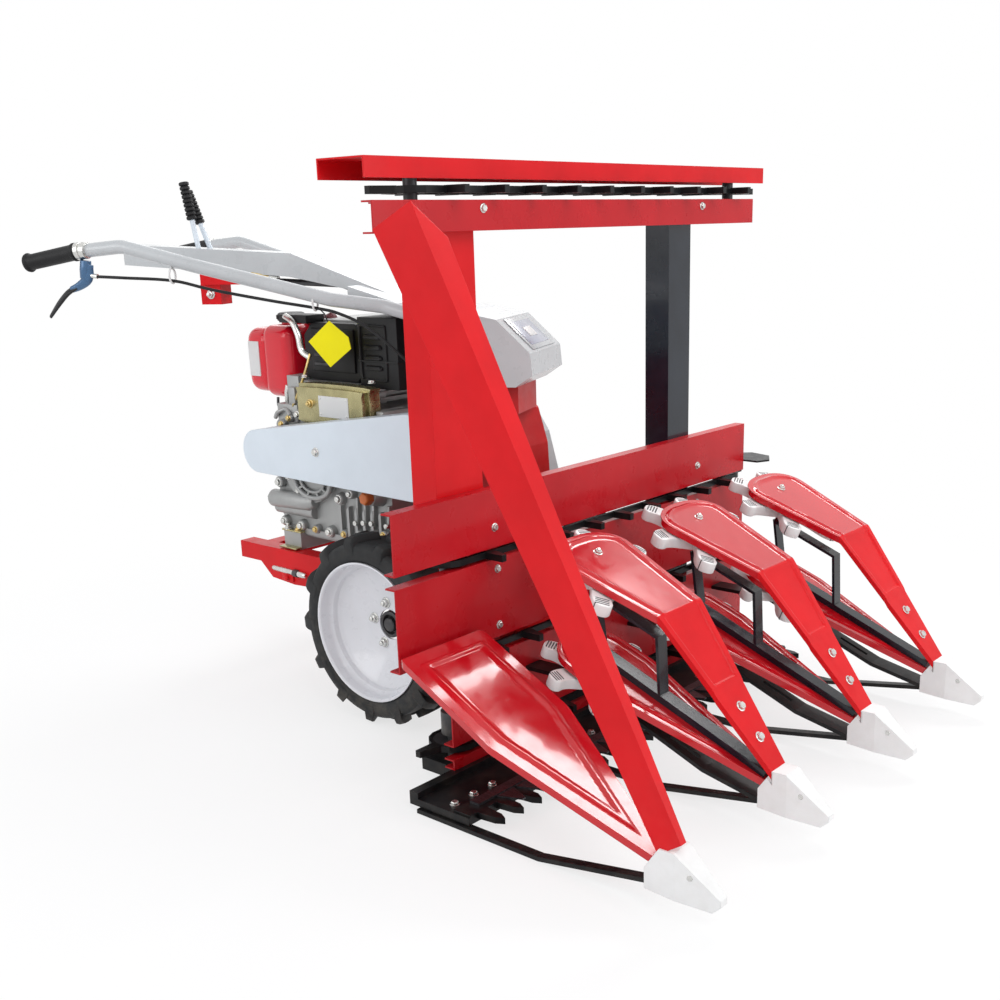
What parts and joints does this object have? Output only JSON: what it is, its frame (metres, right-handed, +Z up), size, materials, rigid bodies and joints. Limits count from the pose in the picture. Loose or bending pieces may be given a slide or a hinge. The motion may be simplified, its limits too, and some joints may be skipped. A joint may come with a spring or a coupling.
{
  "type": "walk-behind rice reaper",
  "caption": "Two-wheeled walk-behind rice reaper with a reciprocating knife, sloping row dividers with star wheels, upright chain conveyors and a small engine.",
  "frame": {"origin": "on the ground, midway between the outermost pieces along the machine and across it", "axes": "+X forward, the way it travels; +Y to its left; +Z up"},
  "size_m": [1.8882, 1.28, 1.1276],
  "materials": {
    "black_plastic": "satin",
    "black_steel": "satin",
    "blue_paint": "satin",
    "dark_steel": "satin",
    "grey_cast": "rough",
    "grey_paint": "satin",
    "grip_rubber": "matte",
    "knife_steel": "satin",
    "lever_rubber": "matte",
    "pale_plastic": "satin",
    "red_cast": "satin",
    "red_paint": "gloss",
    "rubber_belt": "matte",
    "tyre_rubber": "matte",
    "white_paint": "satin",
    "white_plastic": "satin",
    "zinc_steel": "satin"
  },
  "bodies": {
    "machine": {"air_cleaner": "black_plastic", "belt_cover": "pale_plastic", "belt_drive": "rubber_belt", "chassis_frame": "red_paint", "clutch_lever": "blue_paint", "conveyor_low": "black_steel", "conveyor_middle": "black_steel", "conveyor_second": "black_steel", "conveyor_top": "black_steel", "discharge_guide": "black_steel", "divider_beam": "red_paint", "divider_plate": "red_paint", "divider_tips": "white_plastic", "engine_crankcase": "grey_cast", "engine_cylinder": "grey_cast", "engine_side_cover": "zinc_steel", "engine_starter": "black_steel", "front_beam_lower": "red_paint", "front_beam_upper": "red_paint", "front_sheet_middle": "red_paint", "front_sheets_low": "red_paint", "fuel_tank": "red_paint", "gearbox": "red_cast", "handle_grips": "grip_rubber", "handlebar_stem": "grey_paint", "handlebars": "grey_paint", "header_base": "black_steel", "header_hitch": "red_paint", "knife_guards": "black_steel", "lower_covers": "red_paint", "muffler": "dark_steel", "post_left": "black_steel", "post_right": "red_paint", "shift_levers": "lever_rubber", "shift_linkage": "red_paint", "side_guard": "grey_paint", "skids": "black_steel", "sprocket_shafts": "dark_steel", "star_arches": "black_steel", "star_carriers": "black_steel", "stem_foot": "red_cast", "tank_cap": "black_plastic", "top_hood": "red_paint", "upper_covers": "red_paint"},
    "wheel_right": {"tyre_right": "tyre_rubber", "rim_right": "white_paint"},
    "wheel_left": {"tyre_left": "tyre_rubber", "rim_left": "white_paint"},
    "knife": {"knife": "knife_steel"},
    "star_upper_1": {"star_upper_1": "white_plastic"},
    "star_lower_1": {"star_lower_1": "white_plastic"},
    "star_upper_2": {"star_upper_2": "white_plastic"},
    "star_lower_2": {"star_lower_2": "white_plastic"},
    "star_upper_3": {"star_upper_3": "white_plastic"},
    "star_lower_3": {"star_lower_3": "white_plastic"}
  },
  "joints": [
    {"name": "wheel_right_turn", "type": "hinge", "parent": "machine", "child": "wheel_right", "pos_m": [-0.06488, -0.308, 0.207], "axis": [0, 1, 0], "continuous": true},
    {"name": "wheel_left_turn", "type": "hinge", "parent": "machine", "child": "wheel_left", "pos_m": [-0.06488, 0.252, 0.207], "axis": [0, 1, 0], "continuous": true},
    {"name": "star_upper_1_turn", "type": "hinge", "parent": "machine", "child": "star_upper_1", "pos_m": [0.47612, -0.245, 0.397], "axis": [0.3746, 0, 0.9272], "continuous": true},
    {"name": "star_lower_1_turn", "type": "hinge", "parent": "machine", "child": "star_lower_1", "pos_m": [0.47112, -0.245, 0.2], "axis": [0.3746, 0, 0.9272], "continuous": true},
    {"name": "star_upper_2_turn", "type": "hinge", "parent": "machine", "child": "star_upper_2", "pos_m": [0.47612, 0.095, 0.397], "axis": [0.3746, 0, 0.9272], "continuous": true},
    {"name": "star_lower_2_turn", "type": "hinge", "parent": "machine", "child": "star_lower_2", "pos_m": [0.47112, 0.095, 0.2], "axis": [0.3746, 0, 0.9272], "continuous": true},
    {"name": "star_upper_3_turn", "type": "hinge", "parent": "machine", "child": "star_upper_3", "pos_m": [0.47612, 0.435, 0.397], "axis": [0.3746, 0, 0.9272], "continuous": true},
    {"name": "star_lower_3_turn", "type": "hinge", "parent": "machine", "child": "star_lower_3", "pos_m": [0.47112, 0.435, 0.2], "axis": [0.3746, 0, 0.9272], "continuous": true},
    {"name": "knife_stroke", "type": "slide", "parent": "machine", "child": "knife", "axis": [0, 1, 0], "range_m": [-0.025, 0.025]}
  ]
}
